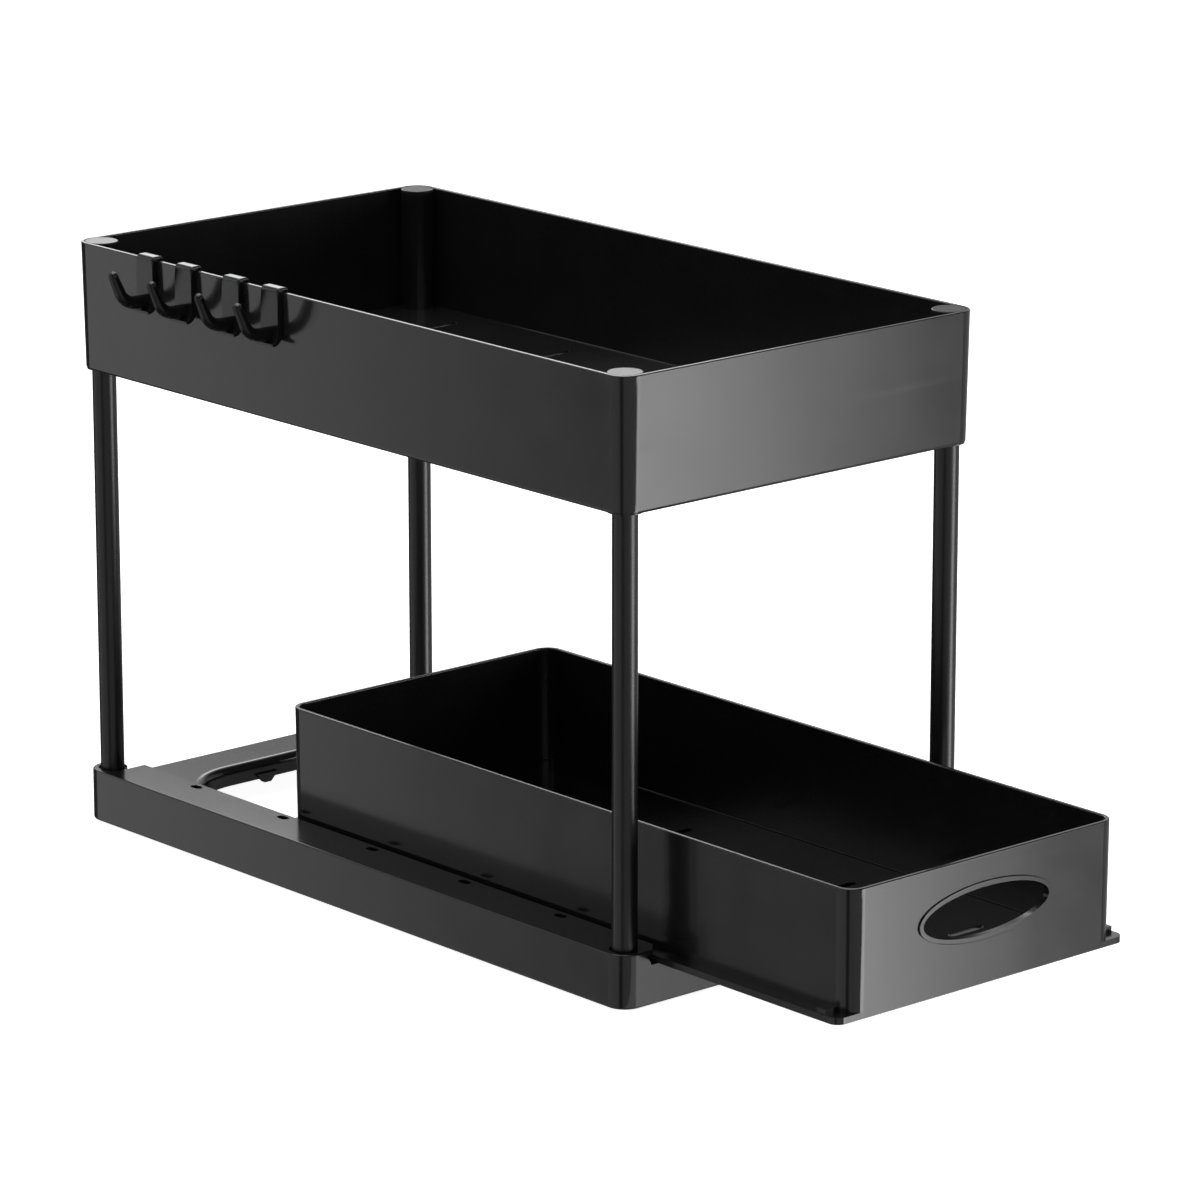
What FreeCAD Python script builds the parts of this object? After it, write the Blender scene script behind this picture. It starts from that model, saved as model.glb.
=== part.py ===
import FreeCAD, Part
import math
import os

import Sketcher

# Under sink organizer: a base with side rails, a pull-out drawer, four posts
# that carry an upper tray, and hooks that hang over the tray's rim.
# +X is right, -Y is the front where the drawer pulls out, +Z is up. The origin is the
# centre of the base's footprint on the floor.

doc = FreeCAD.newDocument("organizer")

# Driving dimensions in millimetres: name, value, meaning
SIZES = [
    ("overall_length", 390, "base and tray, front to rear"),
    ("overall_width", 211.5, "base and tray, side to side"),
    ("overall_height", 283.6, "floor to the tray's rim"),
    ("corner_radius", 9.5, "upright outer corners of base and tray rim"),
    ("overrun", 2, "how far a cut passes the face that it leaves by"),
    ("post_diameter", 11.4, "outside of a post tube"),
    ("post_wall", 1.0, "wall of a post tube"),
    ("post_gap", 0.15, "radial room between a post and what it plugs into"),
    ("tray_height", 61.2, "outside height of the upper tray"),
    ("tray_draft", 1.1, "how far each tray wall leans in at the bottom"),
    ("tray_wall", 2.2, "tray wall"),
    ("tray_floor", 2.2, "tray floor"),
    ("tray_foot_round", 1.6, "rounding under the tray"),
    ("tray_inner_round", 0.5, "rounding between tray floor and walls"),
    ("rim_round", 0.6, "rounding of the tray and drawer rims"),
    ("sleeve_diameter", 16, "column in a tray corner that takes a post"),
    ("sleeve_web", 3, "web in the column that rests on the post"),
    ("tray_slot_length", 25, "drain slot in the tray floor"),
    ("tray_slot_side", 31.25, "drain slot's centre from the tray's side"),
    ("tray_slot_end", 51, "outer row of drain slots from the tray's end"),
    ("tray_slot_pitch", 84, "outer row of drain slots to the inner row"),
    ("slot_width", 4, "width of every drain slot"),
    ("cap_thickness", 1.8, "disc of a post cap"),
    ("cap_round", 0.6, "rounding of a cap's top edge"),
    ("cap_gap", 0.15, "room round a cap's disc and stem"),
    ("cap_stem_length", 14, "stem of a cap below its disc"),
    ("base_height", 25.9, "floor to the top of the side rails"),
    ("base_wall", 2.4, "outer skirt, inner lip and panel of the base"),
    ("base_top_round", 0.7, "rounding of the base's top outer edge"),
    ("base_foot_round", 1.0, "rounding of the base's lower outer edge"),
    ("plate_width", 23, "top plate of a side rail"),
    ("plate_thickness", 2.2, "top plate of a side rail"),
    ("plate_corner", 6, "slanted front inner corner of a top plate"),
    ("plate_setback", 17, "rear end of a top plate from the base's rear face"),
    ("channel_low_depth", 6.45, "plate's inner edge to the runner channel's side, at the ledge"),
    ("channel_high_depth", 9.05, "plate's inner edge to the runner channel's side, at the plate"),
    ("ledge_top", 20.0, "floor to the ledge that a runner slides on"),
    ("ledge_width", 7.2, "ledge under a runner"),
    ("panel_top", 17.4, "floor to the top of the rear bar"),
    ("front_bar_top", 19.2, "floor to the top of the front bar"),
    ("front_bar_depth", 14, "front bar, front to rear"),
    ("end_bar_depth", 25.6, "base's end faces to the opening"),
    ("opening_side", 11.75, "plate's inner edge to the base opening"),
    ("opening_corner", 33, "rounded corner of the base opening"),
    ("opening_round", 4, "rounding of the opening's top edge"),
    ("lip_bottom", 8.2, "floor to the lower edge of the opening's lip"),
    ("socket_wall", 1.2, "socket round a post's foot"),
    ("socket_floor", 2.4, "floor of a post socket"),
    ("socket_lead_width", 1.1, "lead-in round a post socket's mouth"),
    ("socket_lead_depth", 1, "lead-in round a post socket's mouth"),
    ("plate_hole_length", 7, "oval hole in a top plate"),
    ("plate_hole_width", 4, "oval hole in a top plate"),
    ("plate_hole_inset", 4, "oval hole's centre from the plate's inner edge"),
    ("plate_hole_pitch", 66, "spacing of the oval holes"),
    ("stop_width", 13, "stop tab under the rear lip, at its top"),
    ("stop_tip_width", 4, "stop tab at its lower end"),
    ("stop_top", 11, "floor to the top of a stop tab"),
    ("stop_bottom", 6.4, "floor to the lower end of a stop tab"),
    ("stop_proud", 1.6, "how far a stop tab stands off the lip"),
    ("stop_side", 15.6, "stop tab's centre from the middle"),
    ("foot_diameter", 12, "non-slip foot pad"),
    ("foot_thickness", 2, "non-slip foot pad"),
    ("foot_proud", 0.8, "how far a foot pad stands below the base"),
    ("foot_gap", 0.15, "room round a foot pad in its recess"),
    ("foot_round", 0.4, "rounding of a foot pad's lower edge"),
    ("drawer_rear_gap", 23.9, "closed drawer's rear from the base's rear face"),
    ("drawer_side_gap", 2.15, "room between a top plate and the drawer's rim"),
    ("drawer_height", 58.25, "drawer with its runners"),
    ("drawer_draft", 0.44, "how far each drawer wall leans in at the bottom"),
    ("drawer_corner", 8.6, "upright outer corners of the drawer"),
    ("drawer_wall", 2.2, "drawer wall"),
    ("drawer_floor", 2.4, "drawer floor"),
    ("drawer_inner_round", 0.6, "rounding between drawer floor and walls"),
    ("drawer_proud", 13.9, "closed drawer's front past the base's front"),
    ("drawer_pull", 102, "how far the drawer stands open"),
    ("runner_side_gap", 1.9, "room between a runner and its channel's side"),
    ("runner_thickness", 3, "runner along a drawer side"),
    ("runner_corner", 5, "rounded end of a runner"),
    ("runner_gap", 0.3, "room under a runner"),
    ("nib_length", 5.3, "stop nib on a runner, front to rear"),
    ("nib_height", 2.4, "stop nib above its runner"),
    ("nib_gap", 0.5, "room between a nib and the closed drawer's stop"),
    ("nib_inset", 0.5, "stop nib's side from the runner's edge"),
    ("handle_width", 76, "finger hole in the drawer front"),
    ("handle_height", 21.6, "finger hole in the drawer front"),
    ("handle_centre", 33.4, "finger hole's middle above the runners' underside"),
    ("ring_width", 2.4, "raised ring round the finger hole"),
    ("ring_proud", 0.6, "how far the ring stands off the drawer front"),
    ("ring_round", 0.4, "rounding of the ring's outer edge"),
    ("drawer_slot_length", 22, "drain slot in the drawer floor"),
    ("drawer_slot_side", 40.1, "drain slot's centre from the drawer's side"),
    ("drawer_slot_end", 51.8, "outer row of drain slots from the drawer's end"),
    ("drawer_slot_pitch", 83.2, "outer row of drain slots to the inner row"),
    ("hook_width", 12.4, "hook strap along the rim"),
    ("hook_gap", 0.3, "room between a hook and the tray wall"),
    ("hook_strap", 2.6, "hook strap outside the wall, its thickness"),
    ("hook_top", 2.1, "hook above the rim"),
    ("hook_top_round", 2, "rounding of a hook's top inside the tray"),
    ("hook_shoulder_round", 0.8, "rounding of a hook's top outside the tray"),
    ("hook_leg", 1.4, "hook leg inside the tray, its thickness"),
    ("hook_leg_drop", 10, "hook leg below the rim"),
    ("hook_strap_drop", 19.4, "rim to where the strap curls out"),
    ("hook_curl_drop", 24.1, "rim to the curl's pointed end"),
    ("hook_curl_reach", 6.2, "tray wall to the curl's pointed end"),
    ("hook_arm_drop", 19.2, "rim to the middle of a hook's arm"),
    ("hook_arm_straight", 8.4, "tray wall to where the arm bends up"),
    ("hook_arm_bend", 9.5, "radius of the arm's bend"),
    ("hook_arm_rise", 9, "straight end of the arm after the bend"),
    ("hook_arm_root", 6.2, "arm diameter at the strap and through the bend"),
    ("hook_arm_tip", 4.4, "arm diameter at its round tip"),
    ("hook_first", 152, "front hook from the tray's rear face"),
    ("hook_second", 123.4, "second hook from the tray's rear face"),
    ("hook_third", 88.2, "third hook from the tray's rear face"),
    ("hook_fourth", 59, "rear hook from the tray's rear face"),
]
HOOK_ARM_LEAN = 66  # degrees that the arm turns up through its bend

# Sides of the middle that each corner lies on, in X and Y
CORNERS = {
    "front_left": (-1, -1),
    "front_right": (1, -1),
    "rear_left": (-1, 1),
    "rear_right": (1, 1),
}
HOOK_PLACES = ["hook_first", "hook_second", "hook_third", "hook_fourth"]
PLATE_HOLE_STEPS = [-2, -1, 0, 1, 2]

sheet = doc.addObject("Spreadsheet::Sheet", "Sizes")
for line, (alias, amount, meaning) in enumerate(SIZES, start=1):
    sheet.set(f"A{line}", meaning)
    sheet.set(f"B{line}", str(amount))
    sheet.setAlias(f"B{line}", alias)
doc.recompute()


def size(alias):
    """Return a driving dimension as a number."""
    return float(sheet.get(alias))


def amount_of(owner, expression):
    """Return what an expression over the sheet is worth now."""
    answer = owner.evalExpression(expression)
    return float(getattr(answer, "Value", answer))


# Places that several pieces share, written over the sheet
HALF_WIDTH = "Sizes.overall_width / 2"
HALF_LENGTH = "Sizes.overall_length / 2"
POST_X = "(Sizes.overall_width / 2 - Sizes.corner_radius)"
POST_Y = "(Sizes.overall_length / 2 - Sizes.corner_radius)"
TRAY_BOTTOM = "(Sizes.overall_height - Sizes.tray_height)"
SOCKET_BORE = "(Sizes.post_diameter / 2 + Sizes.post_gap)"
POST_BORE = "(Sizes.post_diameter / 2 - Sizes.post_wall)"
SEAT_TOP = "(Sizes.overall_height - Sizes.cap_thickness)"
POST_TOP = f"({SEAT_TOP} - Sizes.sleeve_web)"
FOOT_RECESS = "(Sizes.foot_thickness - Sizes.foot_proud)"
POST_BOTTOM = "(Sizes.foot_thickness + Sizes.socket_floor)"
PLATE_INNER = "(Sizes.overall_width / 2 - Sizes.plate_width)"
PLATE_UNDER = "(Sizes.base_height - Sizes.plate_thickness)"
CHANNEL_LOW = f"({PLATE_INNER} + Sizes.channel_low_depth)"
CHANNEL_HIGH = f"({PLATE_INNER} + Sizes.channel_high_depth)"
OPENING_HALF_WIDTH = f"({PLATE_INNER} - Sizes.opening_side)"
OPENING_HALF_LENGTH = "(Sizes.overall_length / 2 - Sizes.end_bar_depth)"
RUNNER_BOTTOM = "(Sizes.ledge_top + Sizes.runner_gap)"
RUNNER_HALF_WIDTH = f"({CHANNEL_LOW} - Sizes.runner_side_gap)"
DRAWER_HALF_WIDTH = f"({PLATE_INNER} - Sizes.drawer_side_gap)"
DRAWER_HALF = "((Sizes.overall_length + Sizes.drawer_proud - Sizes.drawer_rear_gap) / 2)"
DRAWER_FRONT = f"({HALF_LENGTH} + Sizes.drawer_proud + Sizes.drawer_pull)"


def signed(sign, expression):
    """Return an expression on the given side of zero."""
    return expression if sign > 0 else f"-({expression})"


# Sketches: each point, radius and length is bound to the sheet

def new_body(label):
    """Return an empty body that is named for its piece."""
    body = doc.addObject("PartDesign::Body", label)
    body.Label = label
    return body


def new_sketch(body, label, plane, height):
    """Return a sketch on one of the body's own planes, moved along that plane's normal."""
    sketch = body.newObject("Sketcher::SketchObject", label)
    support = [item for item in body.Origin.OriginFeatures if item.Role == plane]
    sketch.AttachmentSupport = [(support[0], "")]
    sketch.MapMode = "FlatFace"
    sketch.setExpression("AttachmentOffset.Base.z", height)
    return sketch


def bind(sketch, expression, *parts):
    """Add a constraint whose value is the expression."""
    worth = amount_of(sketch, expression)
    index = sketch.addConstraint(Sketcher.Constraint(*parts, worth))
    sketch.setExpression(f"Constraints[{index}]", expression)


def place_point(sketch, geometry, end, across, along):
    """Hold one point of a sketch at the place that two expressions give."""
    for kind, axis, expression in (("DistanceX", -2, across), ("DistanceY", -1, along)):
        worth = amount_of(sketch, expression)
        if worth == 0:
            sketch.addConstraint(Sketcher.Constraint("PointOnObject", geometry, end, axis))
        elif worth > 0:
            bind(sketch, expression, kind, -1, 1, geometry, end)
        else:
            bind(sketch, f"-({expression})", kind, geometry, end, -1, 1)


def draw_circle(sketch, across, along, radius):
    """Draw a circle about the given place."""
    middle = FreeCAD.Vector(amount_of(sketch, across), amount_of(sketch, along), 0)
    circle = Part.Circle(middle, FreeCAD.Vector(0, 0, 1), amount_of(sketch, radius))
    index = sketch.addGeometry(circle)
    place_point(sketch, index, 3, across, along)
    bind(sketch, radius, "Radius", index)


def draw_outline(sketch, points):
    """Draw a closed outline of straight lines through the given places."""
    spots = [
        FreeCAD.Vector(amount_of(sketch, across), amount_of(sketch, along), 0)
        for across, along in points
    ]
    count = len(spots)
    first = sketch.GeometryCount
    for step in range(count):
        sketch.addGeometry(Part.LineSegment(spots[step], spots[(step + 1) % count]))
    for step in range(count):
        following = first + (step + 1) % count
        sketch.addConstraint(Sketcher.Constraint("Coincident", first + step, 2, following, 1))
    for step, (across, along) in enumerate(points):
        place_point(sketch, first + step, 1, across, along)


def draw_rectangle(sketch, low_x, high_x, low_y, high_y):
    """Draw an upright rectangle between four expressions."""
    corners = [(low_x, low_y), (high_x, low_y), (high_x, high_y), (low_x, high_y)]
    draw_outline(sketch, corners)


def draw_rounded_rectangle(sketch, half_x, half_y, radius):
    """Draw a rectangle about the sketch's origin with rounded corners."""
    wide, deep = amount_of(sketch, half_x), amount_of(sketch, half_y)
    bend = amount_of(sketch, radius)
    normal = FreeCAD.Vector(0, 0, 1)
    quarter = math.pi / 2
    for side_x, side_y, start in ((1, 1, 0), (-1, 1, 1), (-1, -1, 2), (1, -1, 3)):
        middle = FreeCAD.Vector(side_x * (wide - bend), side_y * (deep - bend), 0)
        circle = Part.Circle(middle, normal, bend)
        sketch.addGeometry(Part.ArcOfCircle(circle, start * quarter, (start + 1) * quarter))
    for corner in range(4):
        following = (corner + 1) % 4
        start = sketch.Geometry[corner].EndPoint
        sketch.addGeometry(Part.LineSegment(start, sketch.Geometry[following].StartPoint))
    for corner in range(4):
        straight = 4 + corner
        following = (corner + 1) % 4
        sketch.addConstraint(Sketcher.Constraint("Tangent", corner, 2, straight, 1))
        sketch.addConstraint(Sketcher.Constraint("Tangent", straight, 2, following, 1))
        level = "Horizontal" if corner % 2 == 0 else "Vertical"
        sketch.addConstraint(Sketcher.Constraint(level, straight))
        if corner > 0:
            sketch.addConstraint(Sketcher.Constraint("Equal", 0, corner))
    bind(sketch, radius, "Radius", 0)
    bind(sketch, half_y, "DistanceY", -1, 1, 4, 1)
    bind(sketch, half_x, "DistanceX", 5, 1, -1, 1)
    bind(sketch, half_y, "DistanceY", 6, 1, -1, 1)
    bind(sketch, half_x, "DistanceX", -1, 1, 7, 1)


def draw_slot(sketch, across, along, length, width, lengthwise):
    """Draw a round-ended slot; lengthwise says whether it runs along the sketch's Y."""
    reach = f"(({length}) - ({width})) / 2"
    bend = amount_of(sketch, f"({width}) / 2")
    ends = []
    for sign in (1, -1):
        if lengthwise:
            ends.append((across, f"({along}) + ({signed(sign, reach)})"))
        else:
            ends.append((f"({across}) + ({signed(sign, reach)})", along))
    turn = math.pi / 2 if lengthwise else 0
    first = sketch.GeometryCount
    for step, (place_x, place_y) in enumerate(ends):
        middle = FreeCAD.Vector(amount_of(sketch, place_x), amount_of(sketch, place_y), 0)
        circle = Part.Circle(middle, FreeCAD.Vector(0, 0, 1), bend)
        start = turn - math.pi / 2 + step * math.pi
        sketch.addGeometry(Part.ArcOfCircle(circle, start, start + math.pi))
    for step in range(2):
        other = first + (step + 1) % 2
        begin = sketch.Geometry[first + step].EndPoint
        finish = sketch.Geometry[other].StartPoint
        straight = sketch.addGeometry(Part.LineSegment(begin, finish))
        sketch.addConstraint(Sketcher.Constraint("Tangent", first + step, 2, straight, 1))
        sketch.addConstraint(Sketcher.Constraint("Tangent", straight, 2, other, 1))
    sketch.addConstraint(Sketcher.Constraint("Equal", first, first + 1))
    bind(sketch, f"({width}) / 2", "Radius", first)
    place_point(sketch, first, 3, *ends[0])
    if lengthwise:
        place_point_on_one_axis(sketch, first + 1, "DistanceY", ends[1][1])
    else:
        place_point_on_one_axis(sketch, first + 1, "DistanceX", ends[1][0])
    straight = Sketcher.Constraint("Vertical" if lengthwise else "Horizontal", first + 2)
    sketch.addConstraint(straight)


def place_point_on_one_axis(sketch, geometry, kind, expression):
    """Hold a round's centre at a place along one axis only."""
    if amount_of(sketch, expression) >= 0:
        bind(sketch, expression, kind, -1, 1, geometry, 3)
    else:
        bind(sketch, f"-({expression})", kind, geometry, 3, -1, 1)


def draw_ellipse(sketch, along, half_x, half_y):
    """Draw a wide ellipse above the sketch's origin."""
    middle = FreeCAD.Vector(0, amount_of(sketch, along), 0)
    wide, tall = amount_of(sketch, half_x), amount_of(sketch, half_y)
    index = sketch.addGeometry(Part.Ellipse(middle, wide, tall))
    sketch.exposeInternalGeometry(index)
    place_point(sketch, index, 3, "0", along)
    sketch.addConstraint(Sketcher.Constraint("Horizontal", index + 1))
    bind(sketch, f"2 * ({half_x})", "Distance", index + 1)
    bind(sketch, f"2 * ({half_y})", "Distance", index + 2)


# Features: each returns the body's solid after it

def raise_pad(body, sketch, length, lean=None, down=False):
    """Add material from a sketch; lean is the wall's slope as an expression."""
    pad = body.newObject("PartDesign::Pad", f"{sketch.Name}_pad")
    pad.Profile = sketch
    pad.Reversed = down
    pad.setExpression("Length", length)
    if lean:
        pad.setExpression("TaperAngle", lean)
    doc.recompute()
    return pad


def cut_pocket(body, sketch, length, lean=None, up=False):
    """Take material away from a sketch, and stop if nothing was there to take."""
    before = body.Shape.Volume
    pocket = body.newObject("PartDesign::Pocket", f"{sketch.Name}_cut")
    pocket.Profile = sketch
    pocket.Reversed = up
    pocket.setExpression("Length", length)
    if lean:
        pocket.setExpression("TaperAngle", lean)
    doc.recompute()
    if not body.Shape.Volume < before:
        raise RuntimeError(f"{sketch.Name} cuts nothing")
    return pocket


def round_edges(body, label, radius, chosen):
    """Round the edges of the body's solid that the test picks."""
    whole = body.Tip
    edges = enumerate(whole.Shape.Edges, start=1)
    names = [f"Edge{number}" for number, edge in edges if chosen(edge.BoundBox)]
    if not names:
        raise RuntimeError(f"{label} finds no edge to round")
    fillet = body.newObject("PartDesign::Fillet", label)
    fillet.Base = (whole, names)
    fillet.setExpression("Radius", radius)
    doc.recompute()
    return fillet


def flat_at(height):
    """Return a test for edges that lie level at a height."""
    near = size("overrun") / 1000
    return lambda box: abs(box.ZMin - height) < near and abs(box.ZMax - height) < near


def set_place(piece, across="0", along="0", height="0"):
    """Bind a piece's place in the assembly."""
    piece.setExpression("Placement.Base.x", across)
    piece.setExpression("Placement.Base.y", along)
    piece.setExpression("Placement.Base.z", height)


def corner_circles(sketch, radius):
    """Draw a circle at each post's place."""
    for side_x, side_y in CORNERS.values():
        draw_circle(sketch, signed(side_x, POST_X), signed(side_y, POST_Y), radius)


def floor_slots(sketch, piece, half_x, half_y):
    """Draw the drain slots of a tray or drawer floor, two rows from each of its ends."""
    outer_row = f"({half_y} - Sizes.{piece}_slot_end)"
    inner_row = f"({outer_row} - Sizes.{piece}_slot_pitch)"
    length = f"Sizes.{piece}_slot_length"
    for row in (inner_row, outer_row):
        for side_x, side_y in CORNERS.values():
            across = signed(side_x, f"{half_x} - Sizes.{piece}_slot_side")
            draw_slot(sketch, across, signed(side_y, row), length, "Sizes.slot_width", False)


# Upper tray: leaning walls, a slotted floor and a column in each corner for a post

def build_upper_tray():
    """Return the tray, built upright from its own underside."""
    body = new_body("upper_tray")
    lean = "atan(Sizes.tray_draft / Sizes.tray_height)"
    rim, floor = size("tray_height"), size("tray_floor")
    outer = new_sketch(body, "tray_outside", "XY_Plane", "0")
    half_x = f"{HALF_WIDTH} - Sizes.tray_draft"
    half_y = f"{HALF_LENGTH} - Sizes.tray_draft"
    draw_rounded_rectangle(outer, half_x, half_y, "Sizes.corner_radius - Sizes.tray_draft")
    raise_pad(body, outer, "Sizes.tray_height", lean)
    round_edges(body, "tray_underside", "Sizes.tray_foot_round", flat_at(0))
    inner = new_sketch(body, "tray_inside", "XY_Plane", "Sizes.tray_height")
    half_x = f"{HALF_WIDTH} - Sizes.tray_wall"
    half_y = f"{HALF_LENGTH} - Sizes.tray_wall"
    draw_rounded_rectangle(inner, half_x, half_y, "Sizes.corner_radius - Sizes.tray_wall")
    cut_pocket(body, inner, "Sizes.tray_height - Sizes.tray_floor", f"-{lean}")
    round_edges(body, "tray_floor_edge", "Sizes.tray_inner_round", flat_at(floor))
    round_edges(body, "tray_rim", "Sizes.rim_round", flat_at(rim))
    columns = new_sketch(body, "tray_columns", "XY_Plane", "0")
    corner_circles(columns, "Sizes.sleeve_diameter / 2")
    raise_pad(body, columns, "Sizes.tray_height - Sizes.cap_thickness")
    seats = new_sketch(body, "tray_cap_seats", "XY_Plane", "Sizes.tray_height + Sizes.overrun")
    corner_circles(seats, "Sizes.sleeve_diameter / 2 + Sizes.cap_gap")
    cut_pocket(body, seats, "Sizes.cap_thickness + Sizes.overrun")
    bores = new_sketch(body, "tray_post_bores", "XY_Plane", "-Sizes.overrun")
    corner_circles(bores, SOCKET_BORE)
    cut_pocket(body, bores, f"{POST_TOP} - {TRAY_BOTTOM} + Sizes.overrun", up=True)
    holes = new_sketch(body, "tray_web_holes", "XY_Plane", "-Sizes.overrun")
    corner_circles(holes, POST_BORE)
    cut_pocket(body, holes, "Sizes.tray_height + Sizes.overrun", up=True)
    slots = new_sketch(body, "tray_drain_slots", "XY_Plane", "-Sizes.overrun")
    floor_slots(slots, "tray", HALF_WIDTH, HALF_LENGTH)
    cut_pocket(body, slots, "Sizes.tray_floor + 2 * Sizes.overrun", up=True)
    set_place(body, height=TRAY_BOTTOM)
    return body


# Base: a skirted frame round an opening, with a rail and runner channel along each side

def build_base_frame():
    """Return the base, built in place above the floor."""
    body = new_body("base_frame")
    block = new_sketch(body, "base_block", "XY_Plane", "Sizes.foot_proud")
    draw_rounded_rectangle(block, HALF_WIDTH, HALF_LENGTH, "Sizes.corner_radius")
    raise_pad(body, block, "Sizes.base_height - Sizes.foot_proud")
    round_edges(body, "base_foot", "Sizes.base_foot_round", flat_at(size("foot_proud")))
    round_edges(body, "base_crown", "Sizes.base_top_round", flat_at(size("base_height")))
    cut_base_top(body)
    cut_base_channels(body)
    cut_base_underside(body)
    add_base_opening(body)
    add_base_sockets(body)
    cut_base_plate_holes(body)
    return body


def cut_base_top(body):
    """Lower the base between its rails, then its front bar, panel and rear bar further."""
    front = f"-({HALF_LENGTH} + Sizes.overrun)"
    rear = f"{HALF_LENGTH} + Sizes.overrun"
    middle = new_sketch(body, "base_middle", "XY_Plane", "Sizes.base_height + Sizes.overrun")
    draw_rectangle(middle, f"-{PLATE_INNER}", PLATE_INNER, front, rear)
    cut_pocket(body, middle, "Sizes.base_height + Sizes.overrun - Sizes.ledge_top")
    panel = new_sketch(body, "base_panel", "XY_Plane", "Sizes.base_height + Sizes.overrun")
    panel_half = f"({PLATE_INNER} - Sizes.ledge_width)"
    panel_front = f"-({HALF_LENGTH} - Sizes.front_bar_depth)"
    draw_rectangle(panel, f"-{panel_half}", panel_half, panel_front, rear)
    cut_pocket(body, panel, "Sizes.base_height + Sizes.overrun - Sizes.panel_top")
    step = new_sketch(body, "base_rear_step", "XY_Plane", "Sizes.base_height + Sizes.overrun")
    step_front = f"{HALF_LENGTH} - Sizes.plate_setback"
    draw_rectangle(step, f"-{POST_X}", POST_X, step_front, rear)
    cut_pocket(body, step, "Sizes.base_height + Sizes.overrun - Sizes.panel_top")


def cut_base_channels(body):
    """Cut the runner channels, the gap over the front bar, and the plates' slanted corners."""
    channels = new_sketch(body, "base_channels", "XZ_Plane", f"{HALF_LENGTH} + Sizes.overrun")
    mouth = f"({PLATE_INNER} - Sizes.overrun)"
    for sign in (1, -1):
        corners = [
            (signed(sign, mouth), "Sizes.ledge_top"),
            (signed(sign, CHANNEL_LOW), "Sizes.ledge_top"),
            (signed(sign, CHANNEL_HIGH), PLATE_UNDER),
            (signed(sign, mouth), PLATE_UNDER),
        ]
        draw_outline(channels, corners)
    run = "Sizes.overall_length + Sizes.overrun - Sizes.plate_setback - Sizes.base_wall"
    cut_pocket(body, channels, run)
    front = new_sketch(body, "base_front_gap", "XZ_Plane", f"{HALF_LENGTH} + Sizes.overrun")
    low, high = "Sizes.front_bar_top", "Sizes.ledge_top"
    draw_rectangle(front, f"-{CHANNEL_LOW}", CHANNEL_LOW, low, high)
    cut_pocket(body, front, "Sizes.front_bar_depth + Sizes.overrun")
    slants = new_sketch(body, "base_plate_corners", "XY_Plane", "Sizes.base_height + Sizes.overrun")
    past_front = f"-({HALF_LENGTH} + Sizes.overrun)"
    for sign in (1, -1):
        corners = [
            (signed(sign, mouth), past_front),
            (signed(sign, f"{PLATE_INNER} + Sizes.plate_corner + Sizes.overrun"), past_front),
            (signed(sign, mouth), f"-({HALF_LENGTH} - Sizes.plate_corner - Sizes.overrun)"),
        ]
        draw_outline(slants, corners)
    cut_pocket(body, slants, "Sizes.plate_thickness + Sizes.overrun")


def cut_base_underside(body):
    """Hollow the base from below, leaving the skirt, the panel and the channels' walls."""
    hollow = new_sketch(body, "base_hollow", "XY_Plane", "Sizes.foot_proud - Sizes.overrun")
    half_x = f"{HALF_WIDTH} - Sizes.base_wall"
    half_y = f"{HALF_LENGTH} - Sizes.base_wall"
    draw_rounded_rectangle(hollow, half_x, half_y, "Sizes.corner_radius - Sizes.base_wall")
    depth = "Sizes.panel_top - Sizes.base_wall - Sizes.foot_proud + Sizes.overrun"
    cut_pocket(body, hollow, depth, up=True)
    rails = new_sketch(body, "base_rail_hollows", "XY_Plane", "Sizes.foot_proud - Sizes.overrun")
    low_x = f"{CHANNEL_HIGH} + Sizes.base_wall"
    end_y = f"({HALF_LENGTH} - Sizes.plate_setback - Sizes.base_wall)"
    for sign in (1, -1):
        draw_rectangle(rails, signed(sign, low_x), signed(sign, half_x), f"-{end_y}", end_y)
    depth = f"{PLATE_UNDER} - Sizes.foot_proud + Sizes.overrun"
    cut_pocket(body, rails, depth, up=True)


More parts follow.
